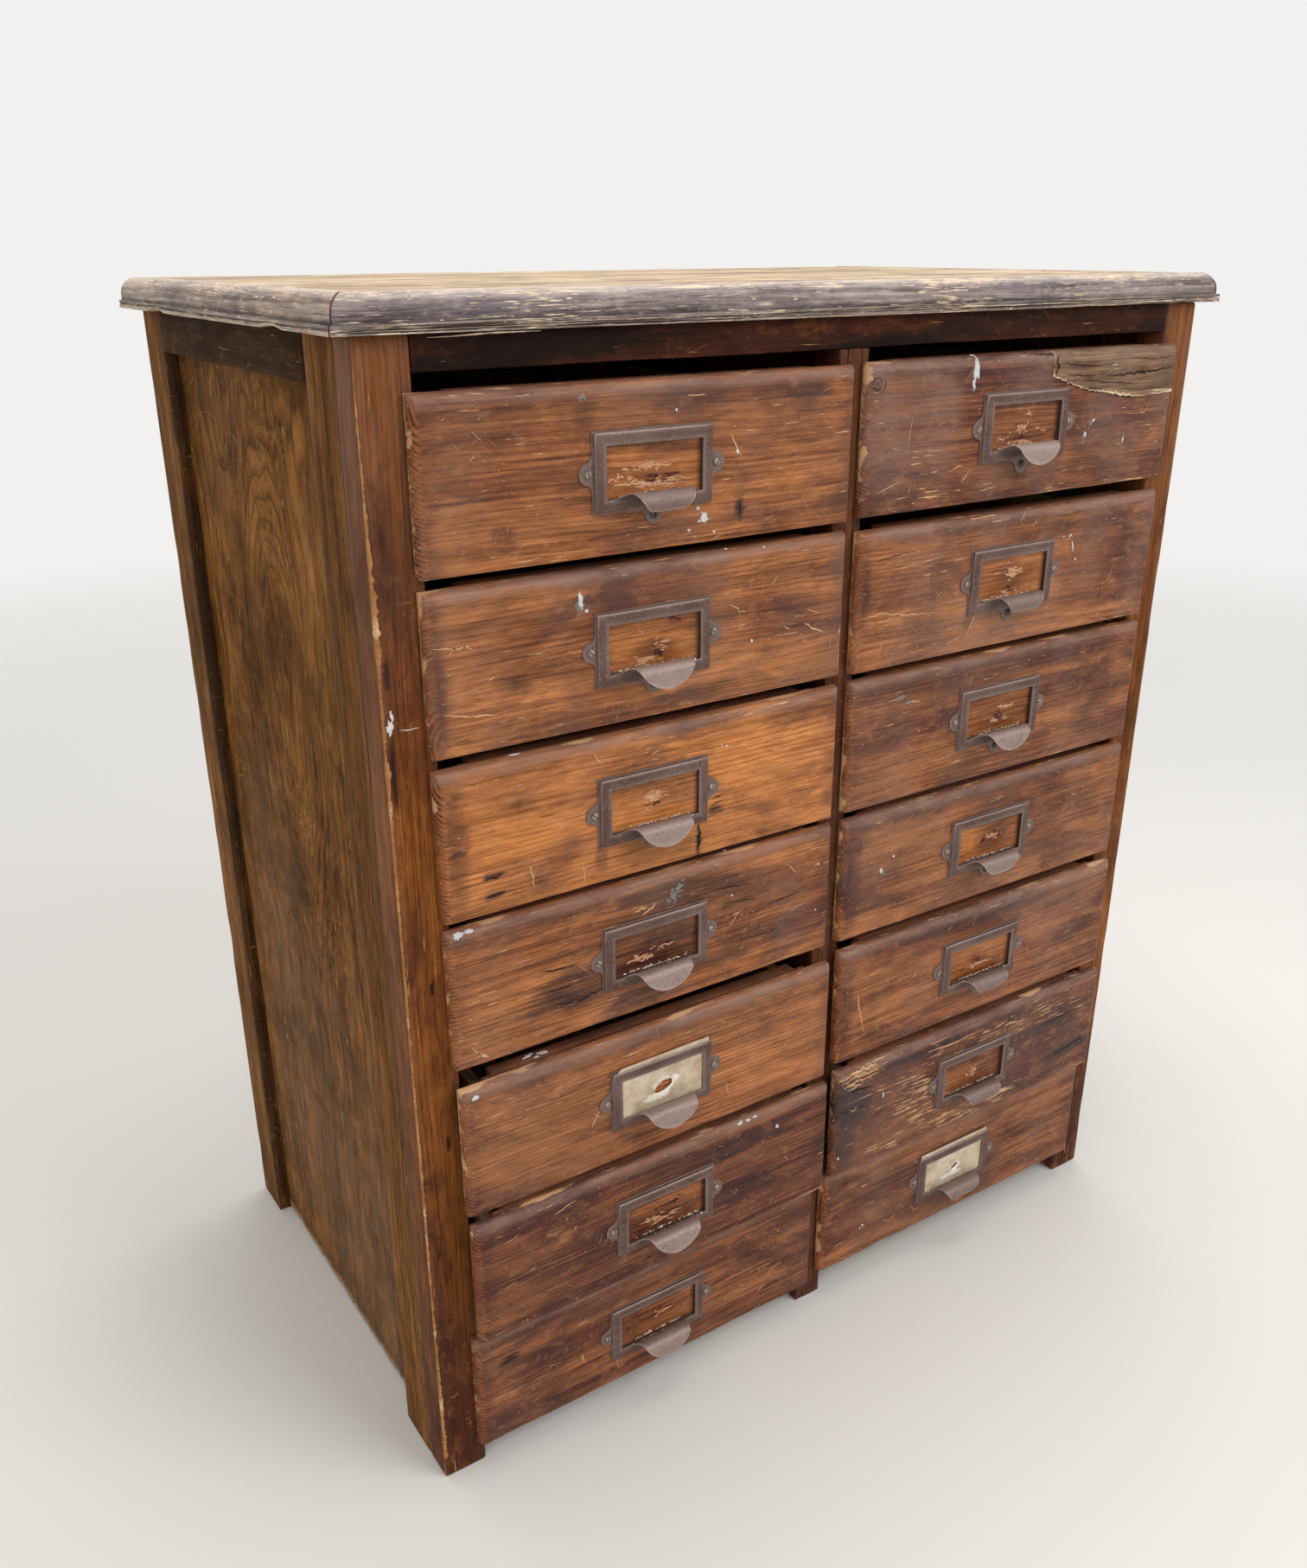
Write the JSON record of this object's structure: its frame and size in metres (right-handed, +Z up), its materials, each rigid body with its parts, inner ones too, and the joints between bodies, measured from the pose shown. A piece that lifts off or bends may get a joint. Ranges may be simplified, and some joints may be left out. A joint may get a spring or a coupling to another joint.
{
  "type": "drawer chest",
  "caption": "Old wooden drawer chest with columns of shallow sliding drawers, steel card-frame pulls, panelled sides and a moulded top.",
  "frame": {"origin": "on the floor, at the middle of the width and of the whole depth, from the foremost pull to the top's rear edge", "axes": "+Z up, +X to the right seen from the front, +Y towards the back"},
  "size_m": [0.749, 0.476, 0.86],
  "materials": {
    "front": "old worn varnish, scratched and stained",
    "carcass": "worn dark varnish",
    "side": "dull, weathered, grey-brown",
    "top": "bare and weathered, cracked along the grain",
    "moulding": "dark, flaked varnish",
    "inner": "unfinished, dry",
    "pull": "dark bronze-brown, worn to bare steel on the leaf",
    "card": "aged, torn"
  },
  "bodies": {
    "carcass": {"left_front_post": "carcass", "left_front_stile": "side", "left_rear_stile": "side", "left_side_rail": "side", "left_side_panel": "side", "right_front_post": "carcass", "right_front_stile": "side", "right_rear_stile": "side", "right_side_rail": "side", "right_side_panel": "side", "front_top_rail": "carcass", "centre_partition": "carcass", "back_panel": "inner", "top_moulding": "moulding", "top_boards": "top", "drawer_runners": "inner"},
    "left_drawer_1": {"left_1_front": "front", "left_1_box": "inner", "left_1_pull": "pull"},
    "left_drawer_2": {"left_2_front": "front", "left_2_box": "inner", "left_2_pull": "pull"},
    "left_drawer_3": {"left_3_front": "front", "left_3_box": "inner", "left_3_pull": "pull"},
    "left_drawer_4": {"left_4_front": "front", "left_4_box": "inner", "left_4_pull": "pull"},
    "left_drawer_5": {"left_5_front": "front", "left_5_box": "inner", "left_5_pull": "pull", "left_5_card": "card"},
    "left_drawer_6": {"left_6_front": "front", "left_6_box": "inner", "left_6_pull": "pull"},
    "left_drawer_7": {"left_7_front": "front", "left_7_box": "inner", "left_7_pull": "pull"},
    "right_drawer_1": {"right_1_front": "front", "right_1_box": "inner", "right_1_pull": "pull"},
    "right_drawer_2": {"right_2_front": "front", "right_2_box": "inner", "right_2_pull": "pull"},
    "right_drawer_3": {"right_3_front": "front", "right_3_box": "inner", "right_3_pull": "pull"},
    "right_drawer_4": {"right_4_front": "front", "right_4_box": "inner", "right_4_pull": "pull"},
    "right_drawer_5": {"right_5_front": "front", "right_5_box": "inner", "right_5_pull": "pull"},
    "right_drawer_6": {"right_6_front": "front", "right_6_box": "inner", "right_6_pull": "pull"},
    "right_drawer_7": {"right_7_front": "front", "right_7_box": "inner", "right_7_pull": "pull", "right_7_card": "card"}
  },
  "joints": [
    {"name": "left_drawer_1_slide", "type": "slide", "parent": "carcass", "child": "left_drawer_1", "axis": [0, -1, 0], "range_m": [-0.001, 0.3]},
    {"name": "left_drawer_2_slide", "type": "slide", "parent": "carcass", "child": "left_drawer_2", "axis": [0, -1, 0], "range_m": [-0.0005, 0.3]},
    {"name": "left_drawer_3_slide", "type": "slide", "parent": "carcass", "child": "left_drawer_3", "axis": [0, -1, 0], "range_m": [-0.0005, 0.3]},
    {"name": "left_drawer_4_slide", "type": "slide", "parent": "carcass", "child": "left_drawer_4", "axis": [0, -1, 0], "range_m": [-0.001, 0.3]},
    {"name": "left_drawer_5_slide", "type": "slide", "parent": "carcass", "child": "left_drawer_5", "axis": [0, -1, 0], "range_m": [-0.008, 0.3]},
    {"name": "left_drawer_6_slide", "type": "slide", "parent": "carcass", "child": "left_drawer_6", "axis": [0, -1, 0], "range_m": [-0.013, 0.3]},
    {"name": "left_drawer_7_slide", "type": "slide", "parent": "carcass", "child": "left_drawer_7", "axis": [0, -1, 0], "range_m": [-0.0005, 0.3]},
    {"name": "right_drawer_1_slide", "type": "slide", "parent": "carcass", "child": "right_drawer_1", "axis": [0, -1, 0], "range_m": [-0.0005, 0.3]},
    {"name": "right_drawer_2_slide", "type": "slide", "parent": "carcass", "child": "right_drawer_2", "axis": [0, -1, 0], "range_m": [-0.0005, 0.3]},
    {"name": "right_drawer_3_slide", "type": "slide", "parent": "carcass", "child": "right_drawer_3", "axis": [0, -1, 0], "range_m": [-0.0005, 0.3]},
    {"name": "right_drawer_4_slide", "type": "slide", "parent": "carcass", "child": "right_drawer_4", "axis": [0, -1, 0], "range_m": [-0.001, 0.3]},
    {"name": "right_drawer_5_slide", "type": "slide", "parent": "carcass", "child": "right_drawer_5", "axis": [0, -1, 0], "range_m": [-0.005, 0.3]},
    {"name": "right_drawer_6_slide", "type": "slide", "parent": "carcass", "child": "right_drawer_6", "axis": [0, -1, 0], "range_m": [-0.009, 0.3]},
    {"name": "right_drawer_7_slide", "type": "slide", "parent": "carcass", "child": "right_drawer_7", "axis": [0, -1, 0], "range_m": [-0.0005, 0.3]}
  ]
}
